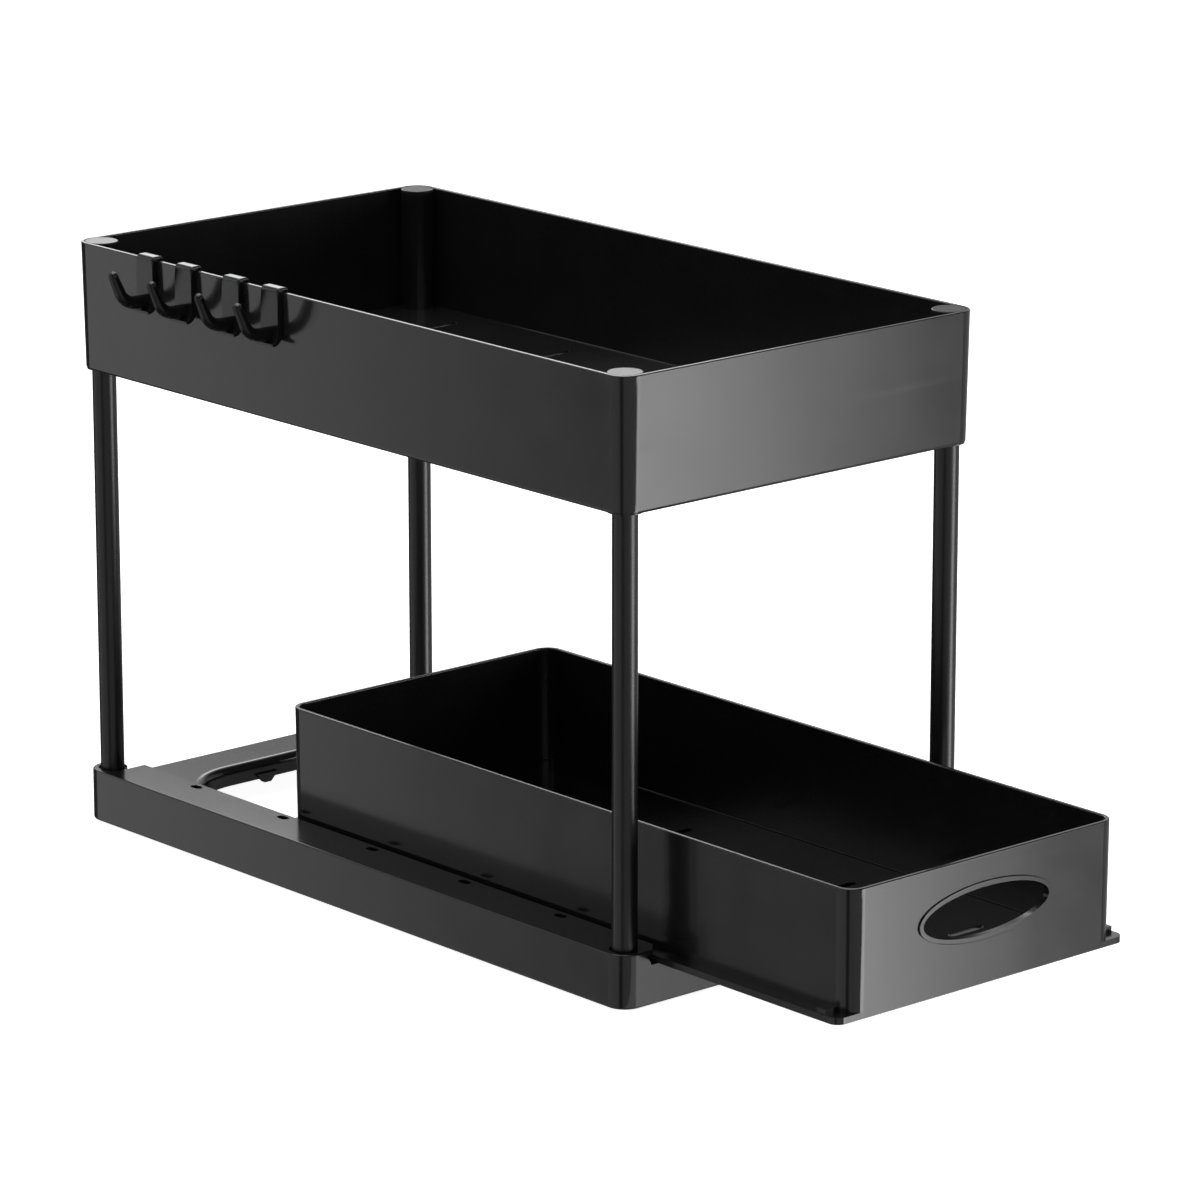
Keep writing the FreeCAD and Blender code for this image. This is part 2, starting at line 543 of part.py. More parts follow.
def add_base_opening(body):
    """Add the opening's lip and stop tabs, then cut the opening and round its top edge."""
    lip = new_sketch(body, "base_lip", "XY_Plane", "Sizes.lip_bottom")
    half_x = f"{OPENING_HALF_WIDTH} + Sizes.base_wall"
    half_y = f"{OPENING_HALF_LENGTH} + Sizes.base_wall"
    draw_rounded_rectangle(lip, half_x, half_y, "Sizes.opening_corner + Sizes.base_wall")
    raise_pad(body, lip, "Sizes.panel_top - Sizes.base_wall / 2 - Sizes.lip_bottom")
    opening = new_sketch(body, "base_opening", "XY_Plane", "Sizes.base_height")
    corner = "Sizes.opening_corner"
    draw_rounded_rectangle(opening, OPENING_HALF_WIDTH, OPENING_HALF_LENGTH, corner)
    cut_pocket(body, opening, "Sizes.base_height")
    half = amount_of(body, OPENING_HALF_WIDTH)
    reach = amount_of(body, OPENING_HALF_LENGTH)
    level = flat_at(size("panel_top"))
    near = size("overrun") / 2

    def on_opening(box):
        """Tell whether a level edge lies on the opening's outline."""
        inside_x = box.XMin > -half - near and box.XMax < half + near
        inside_y = box.YMin > -reach - near and box.YMax < reach + near
        return level(box) and inside_x and inside_y

    round_edges(body, "base_opening_edge", "Sizes.opening_round", on_opening)
    tabs = new_sketch(body, "base_stops", "XZ_Plane", f"Sizes.stop_proud - {OPENING_HALF_LENGTH}")
    for sign in (1, -1):
        middle = signed(sign, "Sizes.stop_side")
        corners = [
            (f"({middle}) - Sizes.stop_tip_width / 2", "Sizes.stop_bottom"),
            (f"({middle}) + Sizes.stop_tip_width / 2", "Sizes.stop_bottom"),
            (f"({middle}) + Sizes.stop_width / 2", "Sizes.stop_top"),
            (f"({middle}) - Sizes.stop_width / 2", "Sizes.stop_top"),
        ]
        draw_outline(tabs, corners)
    raise_pad(body, tabs, "Sizes.stop_proud + Sizes.base_wall / 2", down=True)


def add_base_sockets(body):
    """Add the post sockets, with the foot pads' recesses below them."""
    sockets = new_sketch(body, "base_sockets", "XY_Plane", "Sizes.foot_proud")
    corner_circles(sockets, f"{SOCKET_BORE} + Sizes.socket_wall")
    raise_pad(body, sockets, "Sizes.base_height - Sizes.foot_proud")
    bores = new_sketch(body, "base_socket_bores", "XY_Plane", "Sizes.base_height + Sizes.overrun")
    corner_circles(bores, SOCKET_BORE)
    cut_pocket(body, bores, f"Sizes.base_height + Sizes.overrun - {POST_BOTTOM}")
    leads = new_sketch(body, "base_socket_leads", "XY_Plane", "Sizes.base_height + Sizes.overrun")
    corner_circles(leads, f"{SOCKET_BORE} + Sizes.socket_lead_width")
    cut_pocket(body, leads, "Sizes.socket_lead_depth + Sizes.overrun")
    seats = new_sketch(body, "base_foot_seats", "XY_Plane", "Sizes.foot_proud - Sizes.overrun")
    corner_circles(seats, "Sizes.foot_diameter / 2 + Sizes.foot_gap")
    cut_pocket(body, seats, f"{FOOT_RECESS} + Sizes.overrun", up=True)


def cut_base_plate_holes(body):
    """Cut the row of oval holes along each top plate."""
    holes = new_sketch(body, "base_plate_holes", "XY_Plane", "Sizes.base_height + Sizes.overrun")
    centre = f"({PLATE_INNER} + Sizes.plate_hole_inset)"
    length, width = "Sizes.plate_hole_length", "Sizes.plate_hole_width"
    for sign in (1, -1):
        for step in PLATE_HOLE_STEPS:
            along = f"{step} * Sizes.plate_hole_pitch"
            draw_slot(holes, signed(sign, centre), along, length, width, True)
    cut_pocket(body, holes, "Sizes.plate_thickness + 1.5 * Sizes.overrun")


# Drawer: a box on two runners, with a ringed finger hole in its front

def build_drawer():
    """Return the drawer, built about its own middle from its runners' underside."""
    body = new_body("drawer")
    lean = "atan(Sizes.drawer_draft / Sizes.drawer_height)"
    runners = new_sketch(body, "drawer_runners", "XY_Plane", "0")
    runner_half = f"{DRAWER_HALF} - Sizes.drawer_draft"
    draw_rounded_rectangle(runners, RUNNER_HALF_WIDTH, runner_half, "Sizes.runner_corner")
    raise_pad(body, runners, "Sizes.runner_thickness")
    outer = new_sketch(body, "drawer_outside", "XY_Plane", "0")
    half_x = f"{DRAWER_HALF_WIDTH} - Sizes.drawer_draft"
    draw_rounded_rectangle(outer, half_x, runner_half, "Sizes.drawer_corner - Sizes.drawer_draft")
    raise_pad(body, outer, "Sizes.drawer_height", lean)
    inner = new_sketch(body, "drawer_inside", "XY_Plane", "Sizes.drawer_height")
    half_x = f"{DRAWER_HALF_WIDTH} - Sizes.drawer_wall"
    half_y = f"{DRAWER_HALF} - Sizes.drawer_wall"
    draw_rounded_rectangle(inner, half_x, half_y, "Sizes.drawer_corner - Sizes.drawer_wall")
    cut_pocket(body, inner, "Sizes.drawer_height - Sizes.drawer_floor", f"-{lean}")
    floor_edge = flat_at(size("drawer_floor"))
    round_edges(body, "drawer_floor_edge", "Sizes.drawer_inner_round", floor_edge)
    round_edges(body, "drawer_rim", "Sizes.rim_round", flat_at(size("drawer_height")))
    add_drawer_handle(body)
    add_drawer_nibs(body)
    slots = new_sketch(body, "drawer_drain_slots", "XY_Plane", "-Sizes.overrun")
    floor_slots(slots, "drawer", DRAWER_HALF_WIDTH, DRAWER_HALF)
    cut_pocket(body, slots, "Sizes.drawer_floor + 2 * Sizes.overrun", up=True)
    set_place(body, along=f"{DRAWER_HALF} - {DRAWER_FRONT}", height=RUNNER_BOTTOM)
    return body


def add_drawer_handle(body):
    """Add the raised ring on the drawer front and cut the finger hole through it."""
    ring = new_sketch(body, "handle_ring", "XZ_Plane", f"{DRAWER_HALF} + Sizes.ring_proud")
    half_x = "Sizes.handle_width / 2"
    half_y = "Sizes.handle_height / 2"
    ring_x, ring_y = f"{half_x} + Sizes.ring_width", f"{half_y} + Sizes.ring_width"
    draw_ellipse(ring, "Sizes.handle_centre", ring_x, ring_y)
    raise_pad(body, ring, "Sizes.ring_proud + Sizes.drawer_wall / 2", down=True)
    face = -amount_of(body, f"{DRAWER_HALF} + Sizes.ring_proud")
    near = size("overrun") / 1000

    def on_ring_face(box):
        """Tell whether an edge lies in the ring's front face."""
        return abs(box.YMin - face) < near and abs(box.YMax - face) < near

    round_edges(body, "handle_ring_edge", "Sizes.ring_round", on_ring_face)
    hole_depth = f"{DRAWER_HALF} + Sizes.ring_proud + Sizes.overrun"
    hole = new_sketch(body, "handle_hole", "XZ_Plane", hole_depth)
    draw_ellipse(hole, "Sizes.handle_centre", half_x, half_y)
    depth = "Sizes.ring_proud + Sizes.drawer_wall + Sizes.drawer_draft + 2 * Sizes.overrun"
    cut_pocket(body, hole, depth)


def add_drawer_nibs(body):
    """Add the nib on each runner that meets the rail's front end when the drawer shuts."""
    nibs = new_sketch(body, "drawer_nibs", "XY_Plane", "Sizes.runner_thickness / 2")
    rear = f"{DRAWER_HALF} - Sizes.drawer_proud + Sizes.nib_gap"
    front = f"({rear} + Sizes.nib_length)"
    inner = f"{DRAWER_HALF_WIDTH} - Sizes.drawer_wall / 2"
    outer = f"{RUNNER_HALF_WIDTH} - Sizes.nib_inset"
    for sign in (1, -1):
        draw_rectangle(nibs, signed(sign, inner), signed(sign, outer), f"-{front}", f"-({rear})")
    raise_pad(body, nibs, "Sizes.runner_thickness / 2 + Sizes.nib_height")


# Posts, their caps and the foot pads: one of each to a corner

def build_post(corner, sides):
    """Return a post tube that runs from its socket to the web in the tray's column."""
    outside = doc.addObject("Part::Cylinder", f"post_outside_{corner}")
    outside.setExpression("Radius", "Sizes.post_diameter / 2")
    outside.setExpression("Height", f"{POST_TOP} - {POST_BOTTOM}")
    inside = doc.addObject("Part::Cylinder", f"post_inside_{corner}")
    inside.setExpression("Radius", POST_BORE)
    inside.setExpression("Height", f"{POST_TOP} - {POST_BOTTOM} + 2 * Sizes.overrun")
    inside.setExpression("Placement.Base.z", "-Sizes.overrun")
    post = doc.addObject("Part::Cut", f"post_{corner}")
    post.Base = outside
    post.Tool = inside
    post.Label = f"post_{corner}"
    set_place(post, signed(sides[0], POST_X), signed(sides[1], POST_Y), POST_BOTTOM)
    return post


def build_cap(corner, sides):
    """Return a cap: a disc flush with the rim on a stem that plugs the post."""
    body = new_body(f"post_cap_{corner}")
    disc = new_sketch(body, f"cap_disc_{corner}", "XY_Plane", "0")
    draw_circle(disc, "0", "0", "Sizes.sleeve_diameter / 2")
    raise_pad(body, disc, "Sizes.cap_thickness")
    top = flat_at(size("cap_thickness"))
    round_edges(body, f"cap_edge_{corner}", "Sizes.cap_round", top)
    stem = new_sketch(body, f"cap_stem_{corner}", "XY_Plane", "0")
    draw_circle(stem, "0", "0", f"{POST_BORE} - Sizes.cap_gap")
    raise_pad(body, stem, "Sizes.cap_stem_length", down=True)
    set_place(body, signed(sides[0], POST_X), signed(sides[1], POST_Y), SEAT_TOP)
    return body


def build_foot(corner, sides):
    """Return a non-slip pad that sits in the recess under a post's socket."""
    body = new_body(f"foot_pad_{corner}")
    disc = new_sketch(body, f"foot_disc_{corner}", "XY_Plane", "0")
    draw_circle(disc, "0", "0", "Sizes.foot_diameter / 2")
    raise_pad(body, disc, "Sizes.foot_thickness")
    round_edges(body, f"foot_edge_{corner}", "Sizes.foot_round", flat_at(0))
    set_place(body, signed(sides[0], POST_X), signed(sides[1], POST_Y))
    return body


# Hooks: a strap over the rim with a curled foot and a round arm that turns up

def hook_strap_solid():
    """Return the strap, about the tray's outer face and rim, with its foot curled out."""
    back, outer = -size("hook_gap"), -(size("hook_gap") + size("hook_strap"))
    leg_near = size("tray_wall") + size("hook_gap")
    leg_far = leg_near + size("hook_leg")
    top, bend, shoulder = size("hook_top"), size("hook_top_round"), size("hook_shoulder_round")
    leg_end, turn = -size("hook_leg_drop"), -size("hook_strap_drop")
    tip = (-size("hook_curl_reach"), -size("hook_curl_drop"))
    slant_share = 1 - math.sqrt(0.5)
    slant, shoulder_slant = bend * slant_share, shoulder * slant_share

    def spot(place):
        """Return a point of the strap's side outline."""
        return FreeCAD.Vector(place[0], 0, place[1])

    def line(start, end):
        """Return a straight edge."""
        return Part.LineSegment(spot(start), spot(end)).toShape()

    def arc(start, middle, end):
        """Return a round edge through three places."""
        return Part.Arc(spot(start), spot(middle), spot(end)).toShape()

    def curl(start):
        """Return the round edge that leaves an upright face and ends at the curl's tip."""
        across, down = tip[0] - start[0], tip[1] - start[1]
        radius = -(across * across + down * down) / (2 * across)
        half_turn = math.atan2(down, across + radius) / 2
        middle_x = start[0] - radius + radius * math.cos(half_turn)
        return arc(start, (middle_x, start[1] + radius * math.sin(half_turn)), tip)

    edges = [
        line((leg_near, 0), (leg_near, leg_end)),
        line((leg_near, leg_end), (leg_far, leg_end)),
        line((leg_far, leg_end), (leg_far, top - bend)),
        arc((leg_far, top - bend), (leg_far - slant, top - slant), (leg_far - bend, top)),
        line((leg_far - bend, top), (outer + shoulder, top)),
        arc(
            (outer + shoulder, top),
            (outer + shoulder_slant, top - shoulder_slant),
            (outer, top - shoulder),
        ),
        line((outer, top - shoulder), (outer, turn)),
        curl((outer, turn)),
        curl((back, turn)),
        line((back, turn), (back, 0)),
        line((back, 0), (leg_near, 0)),
    ]
    face = Part.Face(Part.Wire(edges))
    face.translate(FreeCAD.Vector(0, -size("hook_width") / 2, 0))
    return face.extrude(FreeCAD.Vector(0, size("hook_width"), 0))


def hook_arm_solid():
    """Return the arm: straight out of the strap, round a bend, and up to its tip."""
    root = size("hook_arm_root") / 2
    tip = size("hook_arm_tip") / 2
    start_x = -(size("hook_gap") + size("hook_strap") / 2)
    bend_x = -size("hook_arm_straight")
    height = -size("hook_arm_drop")
    bend = size("hook_arm_bend")
    lean = math.radians(HOOK_ARM_LEAN)
    bend_steps = 4
    stations = [(start_x, height, 0, root), ((start_x + bend_x) / 2, height, 0, root)]
    for step in range(bend_steps + 1):
        share = step / bend_steps
        angle = lean * share
        across = bend_x - bend * math.sin(angle)
        rise = height + bend * (1 - math.cos(angle))
        thickness = root + (tip - root) * share * share / 2
        stations.append((across, rise, angle, thickness))
    reach = size("hook_arm_rise")
    last_x, last_z = stations[-1][0], stations[-1][1]
    tip_x = last_x - reach * math.cos(lean)
    tip_z = last_z + reach * math.sin(lean)
    stations.append(((last_x + tip_x) / 2, (last_z + tip_z) / 2, lean, (stations[-1][3] + tip) / 2))
    stations.append((tip_x, tip_z, lean, tip))
    rings = []
    for across, rise, angle, thickness in stations:
        heading = FreeCAD.Vector(-math.cos(angle), 0, math.sin(angle))
        circle = Part.makeCircle(thickness, FreeCAD.Vector(across, 0, rise), heading)
        rings.append(Part.Wire(circle))
    arm = Part.makeLoft(rings, True, False)
    knob = Part.makeSphere(tip, FreeCAD.Vector(tip_x, 0, tip_z))
    return arm.fuse(knob)


def build_hook(number, place):
    """Return a hook that hangs over the tray's left rim."""
    hook = doc.addObject("Part::Feature", f"hook_{number}")
    hook.Shape = hook_strap_solid().fuse(hook_arm_solid()).removeSplitter()
    hook.Label = f"hook_{number}"
    along = f"{HALF_LENGTH} - Sizes.{place}"
    set_place(hook, f"-{HALF_WIDTH}", along, "Sizes.overall_height")
    return hook


pieces = [build_upper_tray(), build_base_frame(), build_drawer()]
for corner, sides in CORNERS.items():
    pieces.append(build_post(corner, sides))
    pieces.append(build_cap(corner, sides))
    pieces.append(build_foot(corner, sides))
for number, place in enumerate(HOOK_PLACES, start=1):
    pieces.append(build_hook(number, place))
doc.recompute()

# Every object has to be sound, and every piece one closed solid, before it is written
for item in doc.Objects:
    if "Invalid" in item.State or "Error" in item.State:
        raise RuntimeError(f"{item.Name} did not build: {item.State}")
for piece in pieces:
    if piece.Shape.isNull() or not piece.Shape.isValid():
        raise RuntimeError(f"{piece.Label} has no valid shape")
    if len(piece.Shape.Solids) != 1:
        raise RuntimeError(f"{piece.Label} is {len(piece.Shape.Solids)} solids")

os.makedirs("parts", exist_ok=True)
for piece in pieces:
    piece.Shape.exportStep(f"parts/{piece.Label}.step")
    box = piece.Shape.BoundBox
    print(
        f"{piece.Label}: volume {piece.Shape.Volume / 1000:.2f} cm3,"
        f" x {box.XMin:.2f} to {box.XMax:.2f},"
        f" y {box.YMin:.2f} to {box.YMax:.2f}, z {box.ZMin:.2f} to {box.ZMax:.2f}"
    )
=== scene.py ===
"""Under sink organizer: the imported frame, dressed and lit as a studio picture.

Lengths are metres. +X is the organizer's right, -Y its front, +Z up.
"""

import logging
import math
from dataclasses import dataclass, field, replace
from enum import Enum

import bmesh
import bpy
from mathutils import Euler, Matrix, Quaternion, Vector


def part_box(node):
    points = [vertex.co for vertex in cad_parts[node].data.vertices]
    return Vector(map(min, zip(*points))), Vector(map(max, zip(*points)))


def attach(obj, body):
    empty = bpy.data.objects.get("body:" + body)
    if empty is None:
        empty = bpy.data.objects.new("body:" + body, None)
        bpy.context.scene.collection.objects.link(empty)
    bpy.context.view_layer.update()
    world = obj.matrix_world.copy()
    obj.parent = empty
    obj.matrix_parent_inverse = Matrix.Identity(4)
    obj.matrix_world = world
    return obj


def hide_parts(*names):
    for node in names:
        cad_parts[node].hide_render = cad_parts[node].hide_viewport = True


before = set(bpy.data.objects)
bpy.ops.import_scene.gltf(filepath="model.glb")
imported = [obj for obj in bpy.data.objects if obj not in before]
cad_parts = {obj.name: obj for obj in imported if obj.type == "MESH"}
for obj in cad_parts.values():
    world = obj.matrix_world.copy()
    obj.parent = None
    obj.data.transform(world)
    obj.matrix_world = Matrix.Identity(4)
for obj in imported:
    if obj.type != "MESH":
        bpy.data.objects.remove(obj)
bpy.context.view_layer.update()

LOG = logging.getLogger("organizer")
MM = 0.001

Colour = tuple[float, float, float, float]
Place = tuple[float, float, float]
Span = tuple[float, float]
Socket = bpy.types.NodeSocket
Shape = bmesh.types.BMesh
Vert = bmesh.types.BMVert


class Corner(Enum):
    """The four corners that carry a post, a cap and a foot pad."""

    FRONT_LEFT = "front_left"
    FRONT_RIGHT = "front_right"
    REAR_LEFT = "rear_left"
    REAR_RIGHT = "rear_right"


class Skin(Enum):
    """The kinds of surface that a piece of the organizer has."""

    MOULDED = "moulded_skin"
    POWDER_COAT = "powder_coat_skin"


class Slope(Enum):
    """The ways in which a ramp runs from nothing to full."""

    STRAIGHT = "LINEAR"
    SMOOTH = "SMOOTHSTEP"


def grey(level: float) -> Colour:
    """Return a neutral colour."""
    return (level, level, level, 1.0)


def facing(place: Place, aim: Place, roll: float = 0.0) -> Euler:
    """Work out how a lamp or camera stands that looks at its aim.

    Args:
        place: where it is.
        aim: what it looks at.
        roll: degrees that it is turned about the way it faces.

    Returns:
        Its rotation.
    """
    heading = Vector(aim) - Vector(place)
    tilt = Quaternion((0, 0, 1), math.radians(roll))
    return (heading.to_track_quat("-Z", "Y") @ tilt).to_euler()


class Wiring:
    """Adds nodes to one node tree and joins them."""

    def __init__(self, tree: bpy.types.NodeTree) -> None:
        """Take the tree that the nodes go into.

        Args:
            tree: the node tree.
        """
        self.tree = tree

    def add(self, kind: str) -> bpy.types.Node:
        """Add a node of one kind."""
        return self.tree.nodes.new(kind)

    def join(self, start: Socket, end: Socket) -> None:
        """Join two sockets."""
        self.tree.links.new(start, end)

    def feed(self, value: Socket | float, target: Socket) -> None:
        """Give an input its value.

        Args:
            value: a socket to join to it, or a number to set.
            target: the input.
        """
        if isinstance(value, float):
            target.default_value = value
        else:
            self.join(value, target)

    def math(self, operation: str, *values: Socket | float) -> Socket:
        """Add a math node.

        Args:
            operation: the node's operation.
            values: sockets or numbers for its inputs.

        Returns:
            The node's value.
        """
        node = self.add("ShaderNodeMath")
        node.operation = operation
        for target, value in zip(node.inputs, values):
            self.feed(value, target)
        return node.outputs[0]

    def ramp(
        self, value: Socket, none: float, full: float, slope: Slope = Slope.STRAIGHT
    ) -> Socket:
        """Turn a value into a share between two levels, clamped beyond them.

        Args:
            value: the value.
            none: the level at which the share is 0.
            full: the level at which it is 1, above or below the other.
            slope: how the share runs between the two.

        Returns:
            The share.
        """
        node = self.add("ShaderNodeMapRange")
        node.interpolation_type = slope.value
        rising = full > none
        node.inputs["From Min"].default_value = min(none, full)
        node.inputs["From Max"].default_value = max(none, full)
        node.inputs["To Min"].default_value = 0.0 if rising else 1.0
        node.inputs["To Max"].default_value = 1.0 if rising else 0.0
        self.join(value, node.inputs["Value"])
        return node.outputs["Result"]


class SkinGroup(Wiring):
    """A shared node group that turns object coordinates into colour, roughness and height.

    Scales are features to the metre, and bands are the noise levels that a mask runs between.
    """

    INPUTS = (
        ("Colour", "NodeSocketColor"),
        ("Bloom", "NodeSocketColor"),
        ("Roughness", "NodeSocketFloat"),
        ("Spread", "NodeSocketFloat"),
        ("Grain Scale", "NodeSocketFloat"),
        ("Grain Height", "NodeSocketFloat"),
        ("Wave Scale", "NodeSocketFloat"),
        ("Wave Height", "NodeSocketFloat"),
    )
    OUTPUTS = (
        ("Colour", "NodeSocketColor"),
        ("Roughness", "NodeSocketFloat"),
        ("Height", "NodeSocketFloat"),
    )
    NOISE_MIDDLE = 0.5
    GRAIN_DETAIL = 2.0
    WAVE_DETAIL = 1.0
    CLOUD_SCALE = 38.0
    CLOUD_DETAIL = 3.0
    CLOUD_BAND = (0.35, 0.75)
    HAIR_TURN = (0.3, 0.5, 0.2)
    HAIR_STRETCH = (9.0, 900.0, 240.0)
    HAIR_SCALE = 1.0
    HAIR_DETAIL = 1.0
    HAIR_BAND = (0.60, 0.78)
    HAIR_SHARE = 0.35
    PEEL_DETAIL = 1.0
    PIT_SCALE = 2600.0
    PIT_DETAIL = 0.0
    PIT_BAND = (0.66, 0.74)

    def __init__(self, skin: Skin) -> None:
        """Build the group for one kind of surface.

        Args:
            skin: the kind of surface, which names the group.
        """
        super().__init__(bpy.data.node_groups.new(skin.value, "ShaderNodeTree"))
        for name, kind in self.INPUTS:
            self.tree.interface.new_socket(name, in_out="INPUT", socket_type=kind)
        for name, kind in self.OUTPUTS:
            self.tree.interface.new_socket(name, in_out="OUTPUT", socket_type=kind)
        self.given = self.add("NodeGroupInput").outputs
        self.result = self.add("NodeGroupOutput").inputs
        self.place = self.add("ShaderNodeTexCoord").outputs["Object"]
        if skin is Skin.MOULDED:
            self._moulded()
        else:
            self._powder_coat()

    def _noise(
        self, scale: Socket | float, detail: float, place: Socket | None = None
    ) -> Socket:
        """Add a noise over the object's own coordinates.

        Args:
            scale: features to the metre, as a socket or a number.
            detail: octaves of finer noise.
            place: coordinates to use in place of the object's own.

        Returns:
            The noise's value, about 0.5 in the middle.
        """
        noise = self.add("ShaderNodeTexNoise")
        noise.inputs["Detail"].default_value = detail
        self.join(place or self.place, noise.inputs["Vector"])
        self.feed(scale, noise.inputs["Scale"])
        return noise.outputs["Fac"]

    def _tint(self, mask: Socket) -> None:
        """Mix the bloom into the colour and put it out.

        Args:
            mask: how much of the bloom shows.
        """
        mix = self.add("ShaderNodeMix")
        mix.data_type = "RGBA"
        self.join(mask, mix.inputs["Factor"])
        self.join(self.given["Colour"], mix.inputs["A"])
        self.join(self.given["Bloom"], mix.inputs["B"])
        self.join(mix.outputs["Result"], self.result["Colour"])

    def _gloss(self, uneven: Socket) -> None:
        """Spread the roughness unevenly and put it out.

        Args:
            uneven: a value that is about 0 in the middle.
        """
        rough = self.math("MULTIPLY_ADD", uneven, self.given["Spread"], self.given["Roughness"])
        self.join(rough, self.result["Roughness"])

    def _height(self, grain: Socket) -> None:
        """Add slow waves to a grain, each times its own height, and put the sum out.

        Args:
            grain: the grain's value.
        """
        wave = self._noise(self.given["Wave Scale"], self.WAVE_DETAIL)
        fine = self.math("MULTIPLY", grain, self.given["Grain Height"])
        broad = self.math("MULTIPLY", wave, self.given["Wave Height"])
        self.join(self.math("ADD", fine, broad), self.result["Height"])

    def _moulded(self) -> None:
        """Plastic from a lightly eroded tool: fine grain, cloudy gloss, hairlines, slow waves."""
        grain = self._noise(self.given["Grain Scale"], self.GRAIN_DETAIL)
        cloud = self._noise(self.CLOUD_SCALE, self.CLOUD_DETAIL)
        stretch = self.add("ShaderNodeMapping")
        stretch.inputs["Rotation"].default_value = self.HAIR_TURN
        stretch.inputs["Scale"].default_value = self.HAIR_STRETCH
        self.join(self.place, stretch.inputs["Vector"])
        lines = self._noise(self.HAIR_SCALE, self.HAIR_DETAIL, stretch.outputs["Vector"])
        hair = self.ramp(lines, *self.HAIR_BAND)
        self._tint(self.ramp(cloud, *self.CLOUD_BAND))
        both = self.math("ADD", cloud, grain)
        uneven = self.math("SUBTRACT", both, 2 * self.NOISE_MIDDLE)
        self._gloss(self.math("MULTIPLY_ADD", hair, self.HAIR_SHARE, uneven))
        self._height(grain)

    def _powder_coat(self) -> None:
        """Baked powder on steel: an orange-peel skin with tiny pits, evenly dull."""
        peel = self._noise(self.given["Grain Scale"], self.PEEL_DETAIL)
        self._tint(self.ramp(self._noise(self.PIT_SCALE, self.PIT_DETAIL), *self.PIT_BAND))
        self._gloss(self.math("SUBTRACT", peel, self.NOISE_MIDDLE))
        self._height(peel)


@dataclass(frozen=True)
class Finish:
    """A black finish: its colours and gloss, and the sizes of the detail that its skin has."""

    name: str
    skin: Skin
    colour: Colour
    bloom: Colour
    roughness: float
    spread: float
    grain: float
    grain_height: float
    wave: float
    wave_height: float
    gloss: float = 0.5

    def material(self, group: SkinGroup) -> bpy.types.Material:
        """Build the finish as a material.

        Args:
            group: the node group of this finish's skin.

        Returns:
            The new material.
        """
        made = bpy.data.materials.new(self.name)
        made.use_nodes = True
        wiring = Wiring(made.node_tree)
        shader = made.node_tree.nodes["Principled BSDF"]
        shader.inputs["Specular IOR Level"].default_value = self.gloss
        skin = wiring.add("ShaderNodeGroup")
        skin.node_tree = group.tree
        values = {
            "Colour": self.colour,
            "Bloom": self.bloom,
            "Roughness": self.roughness,
            "Spread": self.spread,
            "Grain Scale": 1 / self.grain,
            "Grain Height": self.grain_height,
            "Wave Scale": 1 / self.wave,
            "Wave Height": self.wave_height,
        }
        for name, value in values.items():
            skin.inputs[name].default_value = value
        bump = wiring.add("ShaderNodeBump")
        bump.inputs["Distance"].default_value = 1.0
        wiring.join(skin.outputs["Colour"], shader.inputs["Base Color"])
        wiring.join(skin.outputs["Roughness"], shader.inputs["Roughness"])
        wiring.join(skin.outputs["Height"], bump.inputs["Height"])
        wiring.join(bump.outputs["Normal"], shader.inputs["Normal"])
        return made


TRAY_FINISH = Finish(
    "satin_black_tray", Skin.MOULDED, colour=grey(0.0080), bloom=grey(0.0100),
    roughness=0.17, spread=0.05, grain=0.45 * MM, grain_height=0.0012 * MM,
    wave=70 * MM, wave_height=0.05 * MM,
)
BASE_FINISH = replace(
    TRAY_FINISH, name="satin_black_base", grain_height=0.0014 * MM,
    wave=60 * MM, wave_height=0.04 * MM,
)
DRAWER_FINISH = replace(TRAY_FINISH, name="satin_black_drawer", roughness=0.16)
HOOK_FINISH = Finish(
    "satin_black_hook", Skin.MOULDED, colour=grey(0.005), bloom=grey(0.006),
    roughness=0.17, spread=0.05, grain=0.35 * MM, grain_height=0.0012 * MM,
    wave=20 * MM, wave_height=0.01 * MM, gloss=0.38,
)
CAP_FINISH = Finish(
    "matt_black_cap", Skin.MOULDED, colour=grey(0.012), bloom=grey(0.018),
    roughness=0.19, spread=0.06, grain=0.30 * MM, grain_height=0.0016 * MM,
    wave=12 * MM, wave_height=0.01 * MM, gloss=0.12,
)
POST_FINISH = Finish(
    "powder_coated_post", Skin.POWDER_COAT, colour=grey(0.004), bloom=grey(0.007),
    roughness=0.32, spread=0.08, grain=1.1 * MM, grain_height=0.004 * MM,
    wave=40 * MM, wave_height=0.004 * MM,
)
PAD_FINISH = Finish(
    "black_rubber_pad", Skin.MOULDED, colour=grey(0.010), bloom=grey(0.020),
    roughness=0.75, spread=0.20, grain=0.6 * MM, grain_height=0.010 * MM,
    wave=9 * MM, wave_height=0.02 * MM,
)


class Workshop:
    """Keeps the skins' node groups and the finishes' materials, each built once."""

    def __init__(self) -> None:
        """Start with nothing built."""
        self.groups: dict[Skin, SkinGroup] = {}
        self.materials: dict[str, bpy.types.Material] = {}

    def material(self, finish: Finish) -> bpy.types.Material:
        """Return the material of a finish, built at first use.

        Args:
            finish: the finish wanted.

        Returns:
            Its material.
        """
        if finish.skin not in self.groups:
            self.groups[finish.skin] = SkinGroup(finish.skin)
        if finish.name not in self.materials:
            self.materials[finish.name] = finish.material(self.groups[finish.skin])
        return self.materials[finish.name]

    def dress_node(self, node: str, finish: Finish) -> None:
        """Give a node of the frame its finish.

        Args:
            node: the node's name.
            finish: the finish that it gets.
        """
        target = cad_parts[node]
        target.data.materials.clear()
        target.data.materials.append(self.material(finish))
        LOG.info("dressed %s in %s", node, finish.name)


